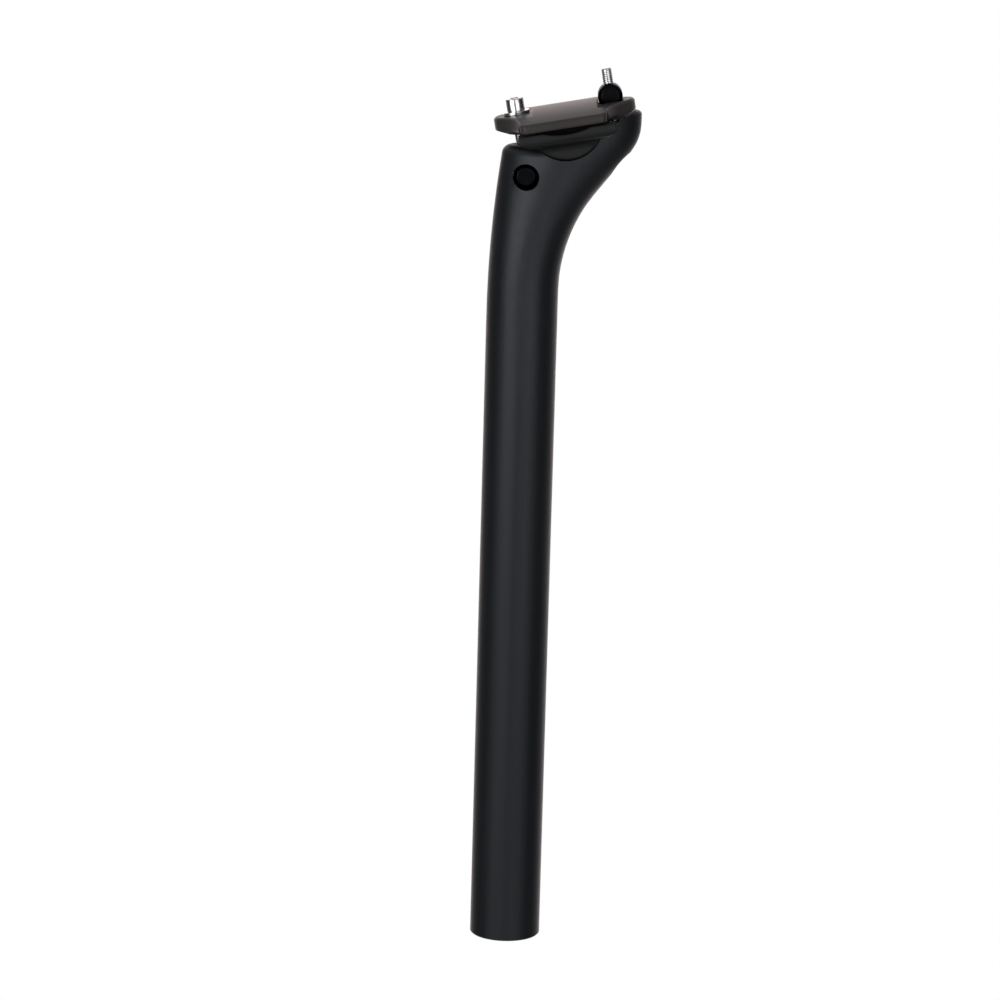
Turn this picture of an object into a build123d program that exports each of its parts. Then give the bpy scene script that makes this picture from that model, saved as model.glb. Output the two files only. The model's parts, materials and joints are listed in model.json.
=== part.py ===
"""Two-bolt bicycle seatpost: a one-piece post with a set-back head, and a rocking saddle-rail clamp.

Millimetres. The origin is the centre of the tube's lower end, +Z runs up the tube and +X points
to the rear, the way the head is set back. The clamp pieces are drawn level around the rocker's
axis, with X fore and aft along the rails and Z square to them, and are then tilted into place.
"""
import os
from math import cos, pi, radians, sqrt, tan

from build123d import *

# Tube
TUBE_D = 27.2  # outside diameter, the size of the seat tube that takes the post
TUBE_WALL = 2.4
STRAIGHT_LENGTH = 246.0  # from the lower end to where the neck starts
BORE_RISE = 20.0  # closed end of the tube's hollow above the straight part
BORE_END_TAPER = 8.0  # bevel of that closed end
TUBE_END_EDGE = 0.5  # bevel at the lower end

# Neck and head, side view
NECK_FRONT_R = 450.0  # gentle hollow of the front outline
NECK_CORNER_RISE = 31.5  # from the straight part to the corner of rear line and sloping underside
NECK_ANGLE = 39.0  # underside's lean from the tube's axis, degrees
NECK_REAR_R = 62.0  # hollow blend from tube to underside
HORN_REACH = 43.3  # rear face of the head behind the tube's axis
HORN_R = 19.0  # round blend from underside to rear face
HEAD_HALF_WIDTH = 14.0
HEAD_FRONT_DROP = 10.5  # top of the head in front of the rocker, below the rocker axis
HEAD_FRONT_EDGE_R = 3.5
HORN_RISE = 3.6  # top of the head behind the rear bolt, above the rocker axis
HORN_EDGE_R = 1.5
LOFT_LEAD = 28.0  # the head is drawn from this far down the straight part
LOFT_SPARE = 6.6  # to this far above the horn, and then cut down
LOFT_SPACES = 16  # between the head's cross-sections

# Rocker axis and rest tilt
SETBACK = 14.4  # rocker axis behind the tube's axis
PIVOT_RISE = 75.8  # rocker axis above the straight part
REST_TILT = 10.5  # rails rise to the rear at rest, degrees
ROCKER_R = 14.5
ROCKER_GAP = 0.25  # rocker to its trough in the head
ROCKER_EDGE = 0.6  # bevel of the rocker's round edges

# Saddle rails
RAIL_D = 7.0
RAIL_SPACING = 44.0
RAIL_DROP = 1.2  # rail axes below the rocker axis
LIP_GAP = 1.0  # between the facing lips of the two clamp halves

# Clamp halves
CLAMP_WIDTH = 53.6
PLATE_FRONT = 17.2  # wide part of the upper clamp, forward of the rocker axis
PLATE_REAR = 15.6  # and behind it
PLATE_CORNER_R = 2.5
CROWN_RISE = 5.1  # middle of the upper clamp above the rocker axis
PLATE_EDGE_RISE = 2.45  # its outer top edges above the rocker axis
FRONT_PAD_RISE = 4.3  # flat round the front bolt
REAR_PAD_RISE = 3.7  # flat round the rear nut
FRONT_STEP = 6.0  # from the front bolt to the crown's front step
KEEL_DROP = 2.6  # underside of the keel between the rails
KEEL_FLANK = 2.0  # sideways run of the keel's slanted flanks
LUG_R = 8.9  # round nose of the lug round each bolt
LUG_TAPER = 16.0  # rise of the lugs' undersides towards their tips, degrees
LUG_TAPER_START = 18.8  # from the rocker axis
PLATE_EDGE_R = 1.0
LUG_EDGE = 0.7  # bevel round a lug's top
HORN_GAP = 0.9  # between the rear lug and the head below it
CRADLE_LENGTH = 36.8  # rail bars of the lower cradle
CRADLE_FLOOR_DROP = 4.6  # floor between the rail bars
CRADLE_BAND = 4.3  # height of a bar's outer face, with its rounding
CRADLE_END_DROP = 4.9  # underside of a bar at its ends
CRADLE_KNEE_DROP = 8.1  # where that underside meets the rocker's round
CRADLE_BAR_INSET = 4.8  # inner face of a bar's lip inside the rail axis
FLARE_FOOT_DROP = 8.8  # where a bar's underside meets the rocker's side
FLARE_R = 2.6  # roundings at both edges of that underside
LIP_DIP = 1.4  # dip in the middle of the cradle's outer lips
LIP_DIP_R = 30.0
CRADLE_SIDE_GAP = 0.4  # rocker inside the head's sides
WING_GAP = 0.6  # rail bars outside the head's sides

# Bolts, washers and barrel nuts
BOLT_OFFSET = 18.0  # each bolt from the rocker axis, along the rails
BOLT_D = 4.0
BOLT_HEAD_D = 7.0
BOLT_HEAD_H = 4.9
BOLT_HEX = 3.0  # across flats
BOLT_HEX_DEPTH = 2.6
BOLT_EDGE = 0.4
FRONT_BOLT_LENGTH = 30.0
REAR_BOLT_LENGTH = 28.0
STUD_RISE = 16.3  # top of the rear bolt above the rocker axis
BOLT_ROOM = 0.35  # round a bolt, beyond the room for its swing
LUG_SWING = 1.4  # swing of a bolt in a lug's slot, each way
HEAD_SWING = 0.8  # swing of a bolt in the head's slots, each way
NUT_THREAD_GAP = 0.05  # bolt to the plain hole that stands for a nut's thread
WASHER_D = 10.0
REAR_WASHER_D = 8.6
WASHER_RIM = 1.1
WASHER_BALL_R = 8.0  # rounded underside
WASHER_SEAT_GAP = 0.15
WASHER_LIFT = 0.1  # washer rim above the front pad
WASHER_HOLE_GAP = 0.1
FRONT_NUT_D = 9.6
FRONT_NUT_LENGTH = 19.4
FRONT_NUT_DROP = 18.6  # below the rocker axis
FRONT_NUT_GAP = 0.2  # to the cross hole in the head
REAR_NUT_D = 9.4
REAR_NUT_LENGTH = 10.0
REAR_NUT_RISE = 5.8  # above the rocker axis
REAR_NUT_GAP = 0.15
REAR_NUT_END_GAP = 0.3
NUT_STEP_ROOM = 0.3  # nut to the crown's rear step
NUT_CHAMFER = 1.4
COUNTERBORE_D = 9.4
SLOT_END_ROOM = 4.2  # below the front bolt's tip, which sinks as the clamp tilts

PIVOT_Z = STRAIGHT_LENGTH + PIVOT_RISE
NECK_CORNER_Z = STRAIGHT_LENGTH + NECK_CORNER_RISE
HEAD_FRONT_Z = PIVOT_Z - HEAD_FRONT_DROP
HORN_TOP_Z = PIVOT_Z + HORN_RISE
LOFT_START = STRAIGHT_LENGTH - LOFT_LEAD
LOFT_TOP = HORN_TOP_Z + LOFT_SPARE
TUBE_R = TUBE_D / 2
RAIL_R = RAIL_D / 2
BASE_UP = (Align.CENTER, Align.CENTER, Align.MIN)
FAR = 60.0  # reach of the cutting shapes, past every surface they cut

UPPER_LIP = -RAIL_DROP + LIP_GAP / 2
LOWER_LIP = -RAIL_DROP - LIP_GAP / 2
FRONT_WASHER_BASE = FRONT_PAD_RISE + WASHER_LIFT
FRONT_HEAD_BASE = FRONT_WASHER_BASE + WASHER_RIM
REAR_HEAD_BASE = STUD_RISE - REAR_BOLT_LENGTH
REAR_WASHER_BASE = REAR_HEAD_BASE + WASHER_RIM
CLAMP_PLACE = Location((SETBACK, 0, PIVOT_Z), (0, -REST_TILT, 0))


def ball_sag(diameter):
    """Depth of the washer's rounded underside under a rim of this diameter."""
    return WASHER_BALL_R - sqrt(WASHER_BALL_R**2 - (diameter / 2) ** 2)


FRONT_BALL_Z = FRONT_WASHER_BASE - ball_sag(WASHER_D) + WASHER_BALL_R
REAR_BALL_Z = REAR_WASHER_BASE + ball_sag(REAR_WASHER_D) - WASHER_BALL_R


def across(radius, length, x, z):
    """Cylinder from side to side, centred on the middle plane."""
    return Pos(x, 0, z) * Rot(90, 0, 0) * Cylinder(radius, length)


def swing_slot(low, high, x, swing):
    """Slot for a bolt that rocks fore and aft."""
    width = BOLT_D + 2 * BOLT_ROOM
    plan = Pos(x, 0, low) * SlotOverall(width + 2 * swing, width)
    return extrude(plan, high - low)


def block(x_range, half_width, z_range):
    """Box between two x values and two z values, centred on the middle plane."""
    size_x = x_range[1] - x_range[0]
    size_z = z_range[1] - z_range[0]
    corner = Pos(x_range[0], 0, z_range[0])
    return corner * Box(size_x, 2 * half_width, size_z, align=(Align.MIN, Align.CENTER, Align.MIN))


def front_reach(z):
    """Front outline of the neck and head: the tube's line, then a gentle arc leaning back."""
    rise = max(0.0, z - STRAIGHT_LENGTH)
    return -TUBE_R + NECK_FRONT_R - sqrt(NECK_FRONT_R**2 - rise**2)


def rear_reach(z):
    """Rear outline: tube line, hollow arc, sloping underside, round arc and upright rear face."""
    lean = radians(NECK_ANGLE)
    horn_corner_z = NECK_CORNER_Z + (HORN_REACH - TUBE_R) / tan(lean)
    hollow_start = NECK_CORNER_Z - NECK_REAR_R * tan(lean / 2)
    hollow_end = NECK_CORNER_Z + NECK_REAR_R * tan(lean / 2) * cos(lean)
    round_start = horn_corner_z - HORN_R * tan(lean / 2) * cos(lean)
    round_end = horn_corner_z + HORN_R * tan(lean / 2)
    if z <= hollow_start:
        return TUBE_R
    if z <= hollow_end:
        return TUBE_R + NECK_REAR_R - sqrt(NECK_REAR_R**2 - (z - hollow_start) ** 2)
    if z <= round_start:
        return TUBE_R + (z - NECK_CORNER_Z) * tan(lean)
    if z <= round_end:
        return HORN_REACH - HORN_R + sqrt(HORN_R**2 - (round_end - z) ** 2)
    return HORN_REACH


def head_half_width(z):
    """Eases from the tube's radius to the head's half width over the height of the neck."""
    share = (z - STRAIGHT_LENGTH) / (HEAD_FRONT_Z - STRAIGHT_LENGTH)
    share = min(1.0, max(0.0, share))
    return TUBE_R + (HEAD_HALF_WIDTH - TUBE_R) * (1 - cos(pi * share)) / 2


def head_section(z):
    """Level cross-section of the neck or head: an ellipse between its front and rear outlines.

    It is turned half round so that the loft's seam lies at the front.
    """
    front = front_reach(z)
    rear = rear_reach(z)
    ellipse = Rot(0, 0, 180) * Ellipse((rear - front) / 2, head_half_width(z))
    return Pos((front + rear) / 2, 0, z) * ellipse


def topped_at(form, z, radius):
    """Form cut level at this height, with its new top edge rounded."""
    form -= block((-FAR, FAR), FAR, (z, z + FAR))
    return fillet(form.faces().sort_by(Axis.Z)[-1].edges(), radius)


def head_form():
    """Neck and head, lofted through level ellipses that start on the round tube.

    The front is cut down lower than the horn behind the rocker axis.
    """
    step = (LOFT_TOP - LOFT_START) / LOFT_SPACES
    skin = loft([head_section(LOFT_START + step * i) for i in range(LOFT_SPACES + 1)])
    horn = topped_at(skin, HORN_TOP_Z, HORN_EDGE_R)
    horn &= block((SETBACK, FAR), FAR, (STRAIGHT_LENGTH, HORN_TOP_Z))
    return topped_at(skin, HEAD_FRONT_Z, HEAD_FRONT_EDGE_R) + horn


def tube_bore():
    """Hollow of the tube, with a bevelled closed end."""
    hollow = Cylinder(TUBE_R - TUBE_WALL, STRAIGHT_LENGTH + BORE_RISE, align=BASE_UP)
    return chamfer(hollow.edges().group_by(Axis.Z)[-1], BORE_END_TAPER)


def horn_top_cut():
    """Everything above the head's top behind the rocker, parallel to the rear lug's underside."""
    slope = tan(radians(LUG_TAPER))
    start = -KEEL_DROP - HORN_GAP / cos(radians(LUG_TAPER)) - LUG_TAPER_START * slope
    outline = Polyline((0, start), (FAR, start + FAR * slope), (FAR, FAR), (0, FAR), close=True)
    return extrude(Plane.XZ * make_face(outline), FAR, both=True)


def rear_counterbore():
    """Pocket under the horn for the rear bolt's head, with a hollow ball seat for its washer."""
    radius = COUNTERBORE_D / 2
    ball = WASHER_BALL_R + WASHER_SEAT_GAP
    top = REAR_BALL_Z + ball
    rim = REAR_BALL_Z + sqrt(ball**2 - radius**2)
    seat = TangentArc((0, top), (radius, rim), tangent=(1, 0))
    wall = Polyline((radius, rim), (radius, -FAR), (0, -FAR), (0, top))
    return Pos(BOLT_OFFSET, 0, 0) * revolve(Plane.XZ * make_face(seat + wall), Axis.Z)


def head_cuts():
    """What the clamp needs cut from the head, drawn level around the rocker axis."""
    front_tip = FRONT_HEAD_BASE - FRONT_BOLT_LENGTH - SLOT_END_ROOM
    return [
        across(ROCKER_R + ROCKER_GAP, 2 * FAR, 0, 0),
        horn_top_cut(),
        across(FRONT_NUT_D / 2 + FRONT_NUT_GAP, 2 * FAR, -BOLT_OFFSET, -FRONT_NUT_DROP),
        swing_slot(front_tip, 0, -BOLT_OFFSET, HEAD_SWING),
        swing_slot(REAR_BALL_Z, 0, BOLT_OFFSET, HEAD_SWING),
        rear_counterbore(),
    ]


def post():
    """One-piece hollow tube and set-back head."""
    tube = Cylinder(TUBE_R, LOFT_START, align=BASE_UP)
    tube = chamfer(tube.edges().group_by(Axis.Z)[0], TUBE_END_EDGE)
    body = tube + head_form()
    for cut in head_cuts():
        body -= CLAMP_PLACE * cut
    return body - tube_bore()


def rail_bores():
    """The two saddle rails, cut from both clamp halves."""
    rail = Rot(0, 90, 0) * Cylinder(RAIL_R, 2 * FAR)
    return [Pos(0, side * RAIL_SPACING / 2, -RAIL_DROP) * rail for side in (-1, 1)]


def run_fore_and_aft(half_face, front, rear):
    """Symmetrical cross-section, given as its right half, run from the front to the rear."""
    half = Plane.YZ * half_face
    return Pos(-front, 0, 0) * extrude(half + mirror(half, Plane.XZ), front + rear)


def cradle_side_form():
    """Side outline of the cradle: the rocker's round, with bars whose undersides slant to it."""
    end = CRADLE_LENGTH / 2
    knee = sqrt(ROCKER_R**2 - CRADLE_KNEE_DROP**2)
    right = [(knee, -CRADLE_KNEE_DROP), (end, -CRADLE_END_DROP), (end, 0)]
    left = [(-x, z) for x, z in reversed(right)]
    bars = extrude(Plane.XZ * make_face(Polyline(*right, *left, close=True)), FAR, both=True)
    return bars + across(ROCKER_R, 2 * FAR, 0, 0)


def lip_dip():
    """Shallow arc that lowers the middle of the cradle's outer lips."""
    dip = across(LIP_DIP_R, 2 * FAR, 0, LOWER_LIP - LIP_DIP + LIP_DIP_R)
    return dip - block((-LIP_DIP_R, LIP_DIP_R), RAIL_SPACING / 2, (-FAR, 2 * LIP_DIP_R))


def rocker_bevels():
    """Slanted rings that break the rocker's round edges."""
    side_y = HEAD_HALF_WIDTH - CRADLE_SIDE_GAP
    outer = ROCKER_R + ROCKER_EDGE
    inner = ROCKER_R - ROCKER_EDGE
    outline = Polyline((inner, side_y), (outer, side_y - 2 * ROCKER_EDGE), (outer, side_y), close=True)
    ring = Rot(90, 0, 0) * revolve(Plane.XZ * make_face(outline), Axis.Z)
    return [ring, mirror(ring, Plane.XZ)]


def lower_cradle():
    """Rocker with a rail bar on each side."""
    side_y = HEAD_HALF_WIDTH - CRADLE_SIDE_GAP
    bar_y = CLAMP_WIDTH / 2
    lip_y = RAIL_SPACING / 2 - CRADLE_BAR_INSET
    floor = -CRADLE_FLOOR_DROP
    inside = Polyline((0, floor), (side_y, floor), (lip_y, LOWER_LIP), (bar_y, LOWER_LIP))
    band_low = (bar_y, LOWER_LIP - CRADLE_BAND)
    foot = (side_y, -FLARE_FOOT_DROP)
    flare = FilletPolyline((bar_y, LOWER_LIP), band_low, foot, (side_y, -ROCKER_R), radius=FLARE_R)
    rocker = Polyline((side_y, -ROCKER_R), (0, -ROCKER_R), (0, floor))
    end = CRADLE_LENGTH / 2
    cradle = run_fore_and_aft(make_face(inside + flare + rocker), end, end) & cradle_side_form()
    bolt_way = block((-FAR, FAR), HEAD_HALF_WIDTH + WING_GAP, (-FAR, FAR))
    cradle -= bolt_way - across(ROCKER_R, 2 * FAR, 0, 0)
    return cradle - lip_dip() - rail_bores() - rocker_bevels()


def lug_side(edge_x):
    """Half the outline of one end: nose round the bolt, hollow flank and the plate's corner.

    The flank's arc leaves the nose and meets the corner's rounding without a kink, which sets its
    radius.
    """
    edge_y = CLAMP_WIDTH / 2
    corner_y = edge_y - PLATE_CORNER_R
    behind = edge_x - BOLT_OFFSET
    hollow_r = (behind**2 + corner_y**2 - LUG_R**2) / (2 * (LUG_R - behind))
    share = LUG_R / (LUG_R + hollow_r)
    leave = (BOLT_OFFSET + share * (behind + hollow_r), share * corner_y)
    nose = TangentArc((BOLT_OFFSET + LUG_R, 0), leave, tangent=(0, 1))
    flank = TangentArc(leave, (edge_x, corner_y), tangent=nose % 1)
    corner = TangentArc((edge_x, corner_y), (edge_x - PLATE_CORNER_R, edge_y), tangent=(0, 1))
    return nose + flank + corner


def clamp_plan():
    """Outline of the upper clamp from above."""
    front = mirror(lug_side(PLATE_FRONT), Plane.YZ)
    rear = lug_side(PLATE_REAR)
    side_y = CLAMP_WIDTH / 2
    side = Line((PLATE_CORNER_R - PLATE_FRONT, side_y), (PLATE_REAR - PLATE_CORNER_R, side_y))
    half = front + side + rear
    return make_face(half + mirror(half, Plane.XZ))


def crowned_form():
    """Crowned cross-section with a keel between the rails, trimmed to the outline from above."""
    edge_y = CLAMP_WIDTH / 2
    keel_y = LUG_R + KEEL_FLANK
    crown = TangentArc((0, CROWN_RISE), (edge_y, PLATE_EDGE_RISE), tangent=(1, 0))
    rim = Polyline((edge_y, PLATE_EDGE_RISE), (edge_y, UPPER_LIP), (keel_y, UPPER_LIP))
    keel = Polyline((keel_y, UPPER_LIP), (LUG_R, -KEEL_DROP), (0, -KEEL_DROP), (0, CROWN_RISE))
    half = make_face(crown + rim + keel)
    top_corner = half.vertices().sort_by_distance((edge_y, PLATE_EDGE_RISE))[0]
    reach = BOLT_OFFSET + LUG_R
    body = run_fore_and_aft(fillet(top_corner, PLATE_EDGE_R), reach, reach)
    return body & extrude(clamp_plan(), FAR, both=True)


def flat_pad(body, x_range, rise):
    """Cuts a level pad across one end of the clamp and bevels its rounded edge."""
    body -= block(x_range, FAR, (rise, FAR))
    pad = body.faces().filter_by(Axis.Z).sort_by_distance((sum(x_range) / 2, 0, rise))[0]
    return chamfer(pad.edges().filter_by(GeomType.CIRCLE), LUG_EDGE)


def lug_taper(side):
    """Wedge under a lug, rising towards its tip."""
    rise = (FAR - LUG_TAPER_START) * tan(radians(LUG_TAPER))
    low = -KEEL_DROP
    points = [(LUG_TAPER_START, low), (FAR, low + rise), (FAR, -FAR), (LUG_TAPER_START, -FAR)]
    outline = Polyline(*[(side * x, z) for x, z in points], close=True)
    return extrude(Plane.XZ * make_face(outline), FAR, both=True)


def upper_clamp():
    """Crowned plate that presses on the rails, with a lug for each bolt."""
    nut_front = BOLT_OFFSET - REAR_NUT_D / 2 - NUT_STEP_ROOM
    body = flat_pad(crowned_form(), (-FAR, FRONT_STEP - BOLT_OFFSET), FRONT_PAD_RISE)
    body = flat_pad(body, (nut_front, FAR), REAR_PAD_RISE)
    body -= [lug_taper(-1), lug_taper(1)]
    body -= [swing_slot(-FAR, FAR, side * BOLT_OFFSET, LUG_SWING) for side in (-1, 1)]
    body -= Pos(-BOLT_OFFSET, 0, FRONT_BALL_Z) * Sphere(WASHER_BALL_R + WASHER_SEAT_GAP)
    nut_bed = REAR_NUT_LENGTH + 2 * REAR_NUT_END_GAP
    body -= across(REAR_NUT_D / 2 + REAR_NUT_GAP, nut_bed, BOLT_OFFSET, REAR_NUT_RISE)
    return body - rail_bores()


def socket_bolt(length):
    """Cap screw with its head standing on z = 0 and its shank below."""
    head = Cylinder(BOLT_HEAD_D / 2, BOLT_HEAD_H, align=BASE_UP)
    head = chamfer(head.edges().group_by(Axis.Z)[-1], BOLT_EDGE)
    hexagon = Pos(0, 0, BOLT_HEAD_H) * RegularPolygon(BOLT_HEX / 2, 6, major_radius=False)
    head -= extrude(hexagon, -BOLT_HEX_DEPTH)
    shank = Pos(0, 0, -length) * Cylinder(BOLT_D / 2, length, align=BASE_UP)
    return head + chamfer(shank.edges().group_by(Axis.Z)[0], BOLT_EDGE)


def ball_washer(diameter):
    """Washer with its flat rim standing on z = 0 and a rounded underside below."""
    radius = diameter / 2
    low = -ball_sag(diameter)
    underside = TangentArc((0, low), (radius, 0), tangent=(1, 0))
    rim = Polyline((radius, 0), (radius, WASHER_RIM), (0, WASHER_RIM), (0, low))
    body = revolve(Plane.XZ * make_face(underside + rim), Axis.Z)
    return body - Cylinder(BOLT_D / 2 + WASHER_HOLE_GAP, FAR)


def barrel_nut(diameter, length):
    """Cross barrel with bevelled ends and a hole square to it for the bolt."""
    body = Rot(90, 0, 0) * Cylinder(diameter / 2, length)
    body = chamfer(body.edges().filter_by(GeomType.CIRCLE), NUT_CHAMFER)
    return body - Cylinder(BOLT_D / 2 + NUT_THREAD_GAP, FAR)


def clamp_pieces():
    """Every piece that is drawn level around the rocker axis."""
    upside_down = Rot(180, 0, 0)
    front_nut_place = Pos(-BOLT_OFFSET, 0, -FRONT_NUT_DROP)
    rear_nut_place = Pos(BOLT_OFFSET, 0, REAR_NUT_RISE)
    return {
        "lower_cradle": lower_cradle(),
        "upper_clamp": upper_clamp(),
        "front_bolt": Pos(-BOLT_OFFSET, 0, FRONT_HEAD_BASE) * socket_bolt(FRONT_BOLT_LENGTH),
        "front_washer": Pos(-BOLT_OFFSET, 0, FRONT_WASHER_BASE) * ball_washer(WASHER_D),
        "front_barrel_nut": front_nut_place * barrel_nut(FRONT_NUT_D, FRONT_NUT_LENGTH),
        "rear_bolt": Pos(BOLT_OFFSET, 0, REAR_HEAD_BASE) * upside_down * socket_bolt(REAR_BOLT_LENGTH),
        "rear_washer": Pos(BOLT_OFFSET, 0, REAR_WASHER_BASE) * upside_down * ball_washer(REAR_WASHER_D),
        "rear_barrel_nut": rear_nut_place * barrel_nut(REAR_NUT_D, REAR_NUT_LENGTH),
    }


def main():
    os.makedirs("parts", exist_ok=True)
    export_step(post(), "parts/post.step")
    for name, piece in clamp_pieces().items():
        export_step(CLAMP_PLACE * piece, f"parts/{name}.step")


main()
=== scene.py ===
"""Dressed bicycle seatpost: finishes for every solid, threaded cap screws, white floor, studio light.

Metres. The frame is the CAD model's own: the tube stands on the floor at the origin, +Z runs up
the tube and +X points to the rear. The camera looks from the side, along +Y and a little down.
"""
import json
from math import cos, pi, radians, sin

import bpy
import numpy as np
from mathutils import Matrix, Vector


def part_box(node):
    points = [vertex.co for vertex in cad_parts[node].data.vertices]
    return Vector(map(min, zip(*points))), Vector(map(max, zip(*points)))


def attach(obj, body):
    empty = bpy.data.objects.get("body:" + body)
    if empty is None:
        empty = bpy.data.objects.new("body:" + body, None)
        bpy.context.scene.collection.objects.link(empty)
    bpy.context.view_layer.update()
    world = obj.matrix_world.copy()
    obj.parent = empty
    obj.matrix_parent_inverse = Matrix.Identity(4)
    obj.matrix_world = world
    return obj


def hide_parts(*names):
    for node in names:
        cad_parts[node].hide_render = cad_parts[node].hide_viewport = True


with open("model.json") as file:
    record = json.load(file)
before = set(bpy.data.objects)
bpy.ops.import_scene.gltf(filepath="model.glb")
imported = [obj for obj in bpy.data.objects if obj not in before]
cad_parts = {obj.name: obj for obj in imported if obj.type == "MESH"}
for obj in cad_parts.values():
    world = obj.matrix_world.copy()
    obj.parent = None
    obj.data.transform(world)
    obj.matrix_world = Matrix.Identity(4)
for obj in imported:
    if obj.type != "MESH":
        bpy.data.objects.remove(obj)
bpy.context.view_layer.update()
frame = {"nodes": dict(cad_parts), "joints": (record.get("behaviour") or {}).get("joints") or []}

MM = 0.001

# Camera, as read from the photograph's frame of 1000 by 1000 pixels
FRAME_PX = 1000
FOCAL_PX = 4346
CAMERA_PITCH = radians(12.02)
CAMERA_ROLL = radians(1.57)
CAMERA_DISTANCE = 1.675
CAMERA_TARGET = Vector((-0.0064, 0.0, 0.17332))
CAMERA_REACH = 100.0
SENSOR_MM = 36.0

# Cap screws, in millimetres
HEAD_R = 3.5
HEAD_HEIGHT = 4.9
HEAD_EDGE = 0.4
SOCKET_FLATS = 3.0
SOCKET_DEPTH = 2.6
SOCKET_BEVEL = 0.2
DRILL_R = 1.2  # drilled floor of the socket
DRILL_POINT = 0.5
SHANK_R = 2.0
NECK_FILLET = 0.3
THREAD_PITCH = 0.7
THREAD_DEPTH = 0.22
THREAD_LENGTH = 20.0
THREAD_RUN_OUT = 1.4
TIP_BEVEL = 0.5
POLE_R = 0.02  # where the grid closes at both ends
ROWS_PER_PITCH = 8
COLUMNS = 60
SHARP_ANGLE = radians(38)

# Studio, in metres
FLOOR_REACH = 12.0
PANEL_AIM = Vector((0.01, 0.0, 0.28))
PANEL_HEIGHT = 0.4


def linear(hex_colour):
    """sRGB hex colour as linear RGBA."""
    srgb = np.array([int(hex_colour[i:i + 2], 16) for i in (1, 3, 5)]) / 255
    low = srgb / 12.92
    high = ((srgb + 0.055) / 1.055) ** 2.4
    return (*np.where(srgb <= 0.04045, low, high), 1.0)


def add(tree, kind, inputs=None, stops=(), **settings):
    """Adds one node with its settings. An input is a value, or another node's socket to link.

    Stops are the (position, colour) pairs of a colour ramp, from its first to its last.
    """
    node = tree.nodes.new(kind)
    for name, value in settings.items():
        setattr(node, name, value)
    if stops:
        elements = node.color_ramp.elements
        for position, colour in stops[1:-1]:
            elements.new(position).color = colour
        elements[0].position, elements[0].color = stops[0]
        elements[-1].position, elements[-1].color = stops[-1]
    for name, value in (inputs or {}).items():
        if isinstance(value, bpy.types.NodeSocket):
            tree.links.new(value, node.inputs[name])
        else:
            node.inputs[name].default_value = value
    return node


def new_material(name):
    """Empty node material, with its tree and its output."""
    material = bpy.data.materials.new(name)
    material.use_nodes = True
    tree = material.node_tree
    tree.nodes.clear()
    return material, tree, tree.nodes.new("ShaderNodeOutputMaterial")


def lacquered_carbon():
    """Moulded carbon composite under thin satin lacquer.

    Nearly black, with faint streaks of the fibres along the tube, and the lacquer's slight waviness
    that lets soft reflections swim a little.
    """
    material, tree, output = new_material("lacquered_carbon")
    place = add(tree, "ShaderNodeTexCoord").outputs["Object"]
    along = add(tree, "ShaderNodeMapping", {"Vector": place, "Scale": (1, 1, 0.02)})
    # Tows are about 1.5 mm wide
    streaks = add(tree, "ShaderNodeTexNoise",
                  {"Vector": along.outputs["Vector"], "Scale": 1 / (1.5 * MM), "Detail": 3.0})
    colour = add(tree, "ShaderNodeValToRGB", {"Fac": streaks.outputs["Fac"]},
                 [(0.3, linear("#131416")), (0.7, linear("#191a1d"))])
    # Lacquer's waviness is about 4 mm from crest to crest
    wavy = add(tree, "ShaderNodeTexNoise", {"Vector": place, "Scale": 1 / (4 * MM), "Detail": 2.0})
    rough = add(tree, "ShaderNodeMapRange",
                {"Value": wavy.outputs["Fac"], "To Min": 0.38, "To Max": 0.46})
    bump = add(tree, "ShaderNodeBump",
               {"Height": wavy.outputs["Fac"], "Strength": 0.15, "Distance": 0.02 * MM})
    shader = add(tree, "ShaderNodeBsdfPrincipled", {
        "Base Color": colour.outputs["Color"], "Roughness": rough.outputs["Result"], "IOR": 1.5,
        "Specular Tint": linear("#eef4ff"), "Normal": bump.outputs["Normal"]})
    tree.links.new(shader.outputs["BSDF"], output.inputs["Surface"])
    return material


def blasted_black_aluminium(name, darker, lighter, sheen):
    """Forged aluminium, bead blasted and black anodised.

    The dyed film hides the metal, so it looks like a dark grey skin with a soft sheen, much lighter
    where it is seen at a low angle, and a fine grit. The dye takes between the darker and the
    lighter colour, and sheen tints what it reflects.
    """
    material, tree, output = new_material(name)
    place = add(tree, "ShaderNodeTexCoord").outputs["Object"]
    # Bead marks are about 0.15 mm, drawn at 0.45 mm so that they show
    grit = add(tree, "ShaderNodeTexNoise", {"Vector": place, "Scale": 1 / (0.45 * MM), "Detail": 2.0})
    # Dye takes unevenly over some 9 mm
    cloud = add(tree, "ShaderNodeTexNoise", {"Vector": place, "Scale": 1 / (9 * MM), "Detail": 3.0})
    colour = add(tree, "ShaderNodeValToRGB", {"Fac": cloud.outputs["Fac"]},
                 [(0.3, linear(darker)), (0.7, linear(lighter))])
    rough = add(tree, "ShaderNodeMapRange",
                {"Value": grit.outputs["Fac"], "To Min": 0.34, "To Max": 0.42})
    soft_edge = add(tree, "ShaderNodeBevel", {"Radius": 1.5 * MM}, samples=8)
    bump = add(tree, "ShaderNodeBump", {
        "Height": grit.outputs["Fac"], "Strength": 0.25, "Distance": 0.03 * MM,
        "Normal": soft_edge.outputs["Normal"]})
    shader = add(tree, "ShaderNodeBsdfPrincipled", {
        "Base Color": colour.outputs["Color"], "Roughness": rough.outputs["Result"],
        "Specular IOR Level": 0.3, "Specular Tint": linear(sheen), "Normal": bump.outputs["Normal"]})
    tree.links.new(shader.outputs["BSDF"], output.inputs["Surface"])
    return material


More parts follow.
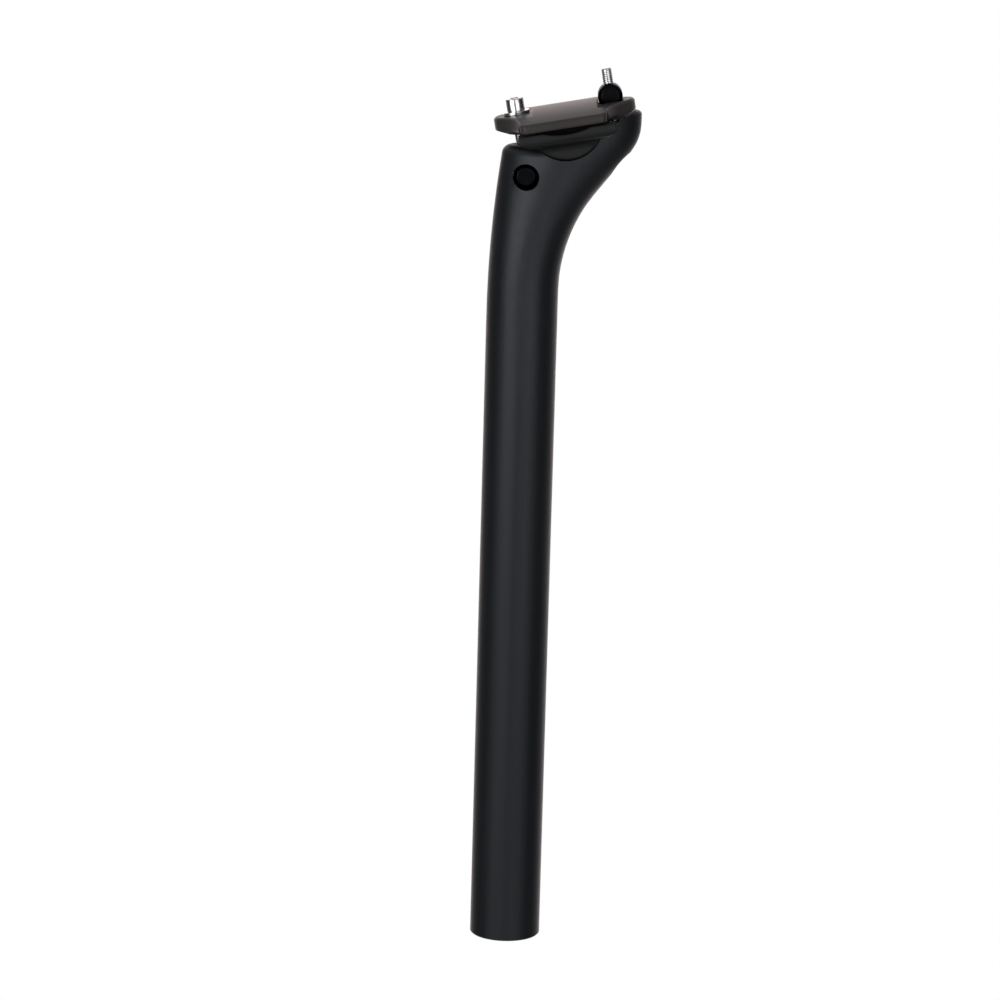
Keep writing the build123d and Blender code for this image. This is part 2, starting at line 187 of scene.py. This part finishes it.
def turned_black_aluminium(name, centre):
    """Turned aluminium, black anodised and smoother than the clamp.

    Near black with a crisp gloss, and rings of the lathe tool round the barrel's axis through
    centre.
    """
    material, tree, output = new_material(name)
    place = add(tree, "ShaderNodeTexCoord").outputs["Object"]
    centred = add(tree, "ShaderNodeMapping", {"Vector": place, "Location": [-c for c in centre]})
    # Tool marks are about 0.1 mm apart, drawn at 0.5 mm so that they show
    rings = add(tree, "ShaderNodeTexWave", {
        "Vector": centred.outputs["Vector"], "Scale": pi / (10 * 0.5 * MM), "Distortion": 0.6},
        wave_type="RINGS", rings_direction="Y")
    smudge = add(tree, "ShaderNodeTexNoise", {"Vector": place, "Scale": 1 / (3 * MM), "Detail": 3.0})
    colour = add(tree, "ShaderNodeValToRGB", {"Fac": smudge.outputs["Fac"]},
                 [(0.3, linear("#151619")), (0.7, linear("#1b1c1f"))])
    rough = add(tree, "ShaderNodeMapRange",
                {"Value": rings.outputs["Fac"], "To Min": 0.22, "To Max": 0.3})
    soft_edge = add(tree, "ShaderNodeBevel", {"Radius": 0.7 * MM}, samples=8)
    bump = add(tree, "ShaderNodeBump", {
        "Height": rings.outputs["Fac"], "Strength": 0.2, "Distance": 0.01 * MM,
        "Normal": soft_edge.outputs["Normal"]})
    shader = add(tree, "ShaderNodeBsdfPrincipled", {
        "Base Color": colour.outputs["Color"], "Metallic": 1.0, "Roughness": rough.outputs["Result"],
        "Specular Tint": linear("#a0a0a2"), "Normal": bump.outputs["Normal"]})
    tree.links.new(shader.outputs["BSDF"], output.inputs["Surface"])
    return material


def bright_stainless_steel(name, darker, lighter):
    """Stainless steel, tumbled or polished bright.

    Mirror-like, with faint smudges between the darker and the lighter colour that dull its
    reflections here and there.
    """
    material, tree, output = new_material(name)
    place = add(tree, "ShaderNodeTexCoord").outputs["Object"]
    # Smudges are about 2 mm across
    smudge = add(tree, "ShaderNodeTexNoise", {"Vector": place, "Scale": 1 / (2 * MM), "Detail": 4.0})
    colour = add(tree, "ShaderNodeValToRGB", {"Fac": smudge.outputs["Fac"]},
                 [(0.35, linear(darker)), (0.65, linear(lighter))])
    rough = add(tree, "ShaderNodeMapRange",
                {"Value": smudge.outputs["Fac"], "To Min": 0.1, "To Max": 0.2})
    shader = add(tree, "ShaderNodeBsdfPrincipled", {
        "Base Color": colour.outputs["Color"], "Metallic": 1.0, "Roughness": rough.outputs["Result"]})
    tree.links.new(shader.outputs["BSDF"], output.inputs["Surface"])
    return material


def thread_radius(travel, angle, start, end):
    """Radius of the shank: a triangle wave along the helix, faded in at both ends of the thread.

    The wave's phase is the way along the shank in pitches less the turn round it, and its crests
    are cut flat.
    """
    phase = (travel / THREAD_PITCH - angle / (2 * pi)) % 1
    valley = np.clip(3 * np.abs(2 * phase - 1) - 1.8, 0, 1)
    fade = np.clip(np.minimum(travel - start, end - travel) / THREAD_RUN_OUT, 0, 1)
    return SHANK_R - THREAD_DEPTH * valley * fade


def cap_screw(name, top, axis, length):
    """Socket cap screw as one closed grid of stations down its axis by angles round it.

    Each row gives the way down from the head's top and a radius for each angle: the socket's floor,
    its hexagon (half the flats over the cosine of the angle from the nearest flat), the head, the
    neck's fillet and the threaded shank. Both ends close on a pole. All lengths are millimetres.
    """
    angle = np.arange(COLUMNS) * 2 * pi / COLUMNS
    round_row = np.ones(COLUMNS)
    hexagon = SOCKET_FLATS / 2 / np.cos((angle + pi / 6) % (pi / 3) - pi / 6)
    mouth = SOCKET_FLATS / 2 / cos(pi / 6) + SOCKET_BEVEL / 2
    quarter = np.linspace(0, pi / 2, 5)
    end = HEAD_HEIGHT + length
    thread_end = end - TIP_BEVEL
    thread_start = end - THREAD_LENGTH
    rows = [
        (SOCKET_DEPTH + DRILL_POINT, POLE_R * round_row),
        (SOCKET_DEPTH, DRILL_R * round_row),
        (SOCKET_DEPTH, hexagon),
        (SOCKET_BEVEL, hexagon),
        (0, mouth * round_row),
    ]
    rows += [(HEAD_EDGE * (1 - cos(a)), (HEAD_R - HEAD_EDGE + HEAD_EDGE * sin(a)) * round_row)
             for a in quarter]
    rows += [(HEAD_HEIGHT - HEAD_EDGE / 2, HEAD_R * round_row),
             (HEAD_HEIGHT, (HEAD_R - HEAD_EDGE / 2) * round_row)]
    rows += [(HEAD_HEIGHT + NECK_FILLET * sin(a), (SHANK_R + NECK_FILLET * (1 - sin(a))) * round_row)
             for a in quarter]
    rows += [(thread_start - THREAD_RUN_OUT, SHANK_R * round_row)]
    stations = int(THREAD_LENGTH / THREAD_PITCH * ROWS_PER_PITCH)
    rows += [(s, thread_radius(s, angle, thread_start, thread_end + THREAD_RUN_OUT / 2))
             for s in np.linspace(thread_start, thread_end, stations)]
    rows += [(end, (SHANK_R - TIP_BEVEL) * round_row), (end, POLE_R * round_row)]
    travel = np.array([row[0] for row in rows])[:, None] * MM
    radius = np.array([row[1] for row in rows]) * MM
    down = -Vector(axis).normalized()
    side = Vector((0, 1, 0))
    fore = side.cross(down)
    points = (np.array(top) + travel[..., None] * np.array(down)
              + (radius * np.cos(angle))[..., None] * np.array(fore)
              + (radius * np.sin(angle))[..., None] * np.array(side))
    return grid_object(name, points)


def grid_object(name, points):
    """Closed tube of quads over a rows-by-columns grid of points, capped at its first and last row."""
    count, columns = points.shape[:2]
    index = np.arange(count * columns).reshape(count, columns)
    beside = np.roll(index, -1, axis=1)
    quads = np.stack([index[:-1], beside[:-1], beside[1:], index[1:]], axis=-1).reshape(-1, 4)
    faces = quads.tolist() + [index[0, ::-1].tolist(), index[-1].tolist()]
    mesh = bpy.data.meshes.new(name)
    mesh.from_pydata(points.reshape(-1, 3).tolist(), [], faces)
    mesh.shade_smooth()
    mesh.set_sharp_from_angle(angle=SHARP_ANGLE)
    mesh.update()
    piece = bpy.data.objects.new(name, mesh)
    bpy.context.scene.collection.objects.link(piece)
    return piece


def on_axis(node, point, axis):
    """Lowest and highest place of a CAD node along an axis through point, in metres from point."""
    mesh = frame["nodes"][node].data
    flat = np.empty(len(mesh.vertices) * 3)
    mesh.vertices.foreach_get("co", flat)
    along = (flat.reshape(-1, 3) - np.array(point)) @ np.array(axis)
    return float(along.min()), float(along.max())


def threaded_bolt(node, body, hinge, slide, head_up):
    """Cap screw in the place of a CAD bolt, on the line through a hinge along a slide."""
    joints = {joint["name"]: joint for joint in frame["joints"]}
    point = Vector(joints[hinge]["pos_m"])
    axis = Vector(joints[slide]["axis"]).normalized()
    low, high = on_axis(node, point, axis)
    length = (high - low) / MM - HEAD_HEIGHT
    if head_up:
        screw = cap_screw(node + "_threaded", point + high * axis, axis, length)
    else:
        screw = cap_screw(node + "_threaded", point + low * axis, -axis, length)
    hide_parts(node)
    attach(screw, body)
    return screw


def centre_of(node):
    """Middle of a CAD node's box at rest."""
    low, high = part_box(node)
    return (low + high) / 2


def dress(thing, material):
    """Gives an object this material alone."""
    thing.data.materials.clear()
    thing.data.materials.append(material)


def dress_object():
    """Finishes for the CAD nodes, and the threaded screws with theirs."""
    nodes = frame["nodes"]
    dress(nodes["post"], lacquered_carbon())
    cool = blasted_black_aluminium("cool_black_aluminium", "#18191b", "#1d1e20", "#ffffff")
    dress(nodes["lower_cradle"], cool)
    warm = blasted_black_aluminium("warm_black_aluminium", "#383535", "#3f3b3b", "#fff4f2")
    dress(nodes["upper_clamp"], warm)
    for node in ("front_barrel_nut", "rear_barrel_nut"):
        dress(nodes[node], turned_black_aluminium(node + "_finish", centre_of(node)))
    polished = bright_stainless_steel("polished_steel", "#ececee", "#f4f4f5")
    dress(nodes["front_washer"], polished)
    dress(nodes["rear_washer"], polished)
    steel = bright_stainless_steel("tumbled_steel", "#d6d7d9", "#e4e4e5")
    dress(threaded_bolt("front_bolt", "front_bolt", "front_nut_turn", "front_bolt_travel", True), steel)
    dress(threaded_bolt("rear_bolt", "rear_bolt", "rear_bolt_swing", "rear_nut_travel", False), steel)


def white_floor():
    """Plain white floor, seen by the camera only, so that the light on the object stays plain."""
    corners = [(FLOOR_REACH * x, FLOOR_REACH * y, 0) for x, y in ((-1, -1), (1, -1), (1, 1), (-1, 1))]
    mesh = bpy.data.meshes.new("floor")
    mesh.from_pydata(corners, [], [(0, 1, 2, 3)])
    floor = bpy.data.objects.new("floor", mesh)
    bpy.context.scene.collection.objects.link(floor)
    material, tree, output = new_material("white_paper")
    glow = add(tree, "ShaderNodeEmission", {"Color": (1, 1, 1, 1), "Strength": 1.0})
    tree.links.new(glow.outputs["Emission"], output.inputs["Surface"])
    dress(floor, material)
    floor.visible_diffuse = False
    floor.visible_glossy = False
    floor.visible_shadow = False


def studio_world():
    """Soft room as a picture of directions.

    It is pale in front with a thin dark gap at the camera, dark to both sides, and has a warm
    white wall behind, a dim ceiling and a dimmer ground.
    """
    world = bpy.data.worlds.new("studio")
    bpy.context.scene.world = world
    world.use_nodes = True
    tree = world.node_tree
    tree.nodes.clear()
    output = tree.nodes.new("ShaderNodeOutputWorld")
    way = add(tree, "ShaderNodeTexCoord").outputs["Generated"]
    parts = add(tree, "ShaderNodeSeparateXYZ", {"Vector": way})
    turn = add(tree, "ShaderNodeMath", {0: parts.outputs["X"], 1: parts.outputs["Y"]},
               operation="ARCTAN2")
    share = add(tree, "ShaderNodeMapRange",
                {"Value": turn.outputs["Value"], "From Min": -pi, "From Max": pi})

    def at(degrees, level, warmth=0.0):
        """Ramp stop at an angle from the camera's own direction, to the right if positive."""
        return ((-degrees / 360) % 1, (level, level * (1 - warmth), level * (1 - warmth), 1))

    # The ramp starts at the camera's direction, goes by the left side to the back and on by the right
    gap = (0.1, 0.1, 0.1, 1)
    left_side = [at(-7, 0.52), at(-16, 0.52), at(-45, 0.53), at(-60, 0.36), at(-76, 0.03),
                 at(-103, 0.05), at(-140, 0.32)]
    wall = [at(degrees, 1.53, 0.15) for degrees in (-156, 180, 156)]
    right_side = [at(138, 0.5), at(106, 0.06), at(62, 0.03), at(46, 0.5), at(7, 0.5)]
    room = add(tree, "ShaderNodeValToRGB", {"Fac": share.outputs["Result"]},
               [(0.0, gap), *left_side, *wall, *right_side, (1.0, gap)])
    height = add(tree, "ShaderNodeMapRange", {"Value": parts.outputs["Z"], "From Min": -1.0})
    # Steep ways up and down leave the room for the ceiling and the ground
    black, white = (0, 0, 0, 1), (1, 1, 1, 1)
    steep = add(tree, "ShaderNodeValToRGB", {"Fac": height.outputs["Result"]},
                [(0.08, white), (0.28, black), (0.63, black), (0.70, white)])
    ground, ceiling = (0.2, 0.2, 0.2, 1), (0.42, 0.42, 0.42, 1)
    ends = add(tree, "ShaderNodeValToRGB", {"Fac": height.outputs["Result"]},
               [(0.28, ground), (0.63, ceiling)])
    # Sockets 6 and 7 are the two colours of the mix, and its output 2 is the mixed one
    both = add(tree, "ShaderNodeMix", {"Factor": steep.outputs["Color"], 6: room.outputs["Color"],
                                       7: ends.outputs["Color"]}, data_type="RGBA")
    back = add(tree, "ShaderNodeBackground", {"Color": both.outputs[2], "Strength": 1.0})
    tree.links.new(back.outputs["Background"], output.inputs["Surface"])


def softbox(name, place, width, radiance):
    """Soft panel lamp that faces the head. Its power is radiance times pi times its area."""
    data = bpy.data.lights.new(name, "AREA")
    data.shape = "RECTANGLE"
    data.size = width
    data.size_y = PANEL_HEIGHT
    data.energy = radiance * pi * width * PANEL_HEIGHT
    lamp = bpy.data.objects.new(name, data)
    bpy.context.scene.collection.objects.link(lamp)
    facing = (PANEL_AIM - Vector(place)).to_track_quat("-Z", "Y")
    lamp.matrix_world = Matrix.Translation(place) @ facing.to_matrix().to_4x4()


def camera():
    """Camera at the photograph's angle: pitched down, then rolled about its own line of sight."""
    back = Vector((0, -cos(CAMERA_PITCH), sin(CAMERA_PITCH)))
    right = Vector((1, 0, 0))
    up = back.cross(right)
    rolled_right = cos(CAMERA_ROLL) * right + sin(CAMERA_ROLL) * up
    rolled_up = cos(CAMERA_ROLL) * up - sin(CAMERA_ROLL) * right
    data = bpy.data.cameras.new("camera")
    data.sensor_width = SENSOR_MM
    data.lens = SENSOR_MM * FOCAL_PX / FRAME_PX
    data.clip_end = CAMERA_REACH
    eye = bpy.data.objects.new("camera", data)
    bpy.context.scene.collection.objects.link(eye)
    turn = Matrix((rolled_right, rolled_up, back)).transposed().to_4x4()
    eye.matrix_world = Matrix.Translation(CAMERA_TARGET + CAMERA_DISTANCE * back) @ turn
    bpy.context.scene.camera = eye


dress_object()
white_floor()
studio_world()
softbox("left_panel", (-0.542, -0.719, 0.31), 0.69, 2.3)
softbox("right_panel", (0.415, -0.80, 0.28), 0.6, 1.2)
camera()
bpy.context.scene.view_settings.view_transform = "Standard"
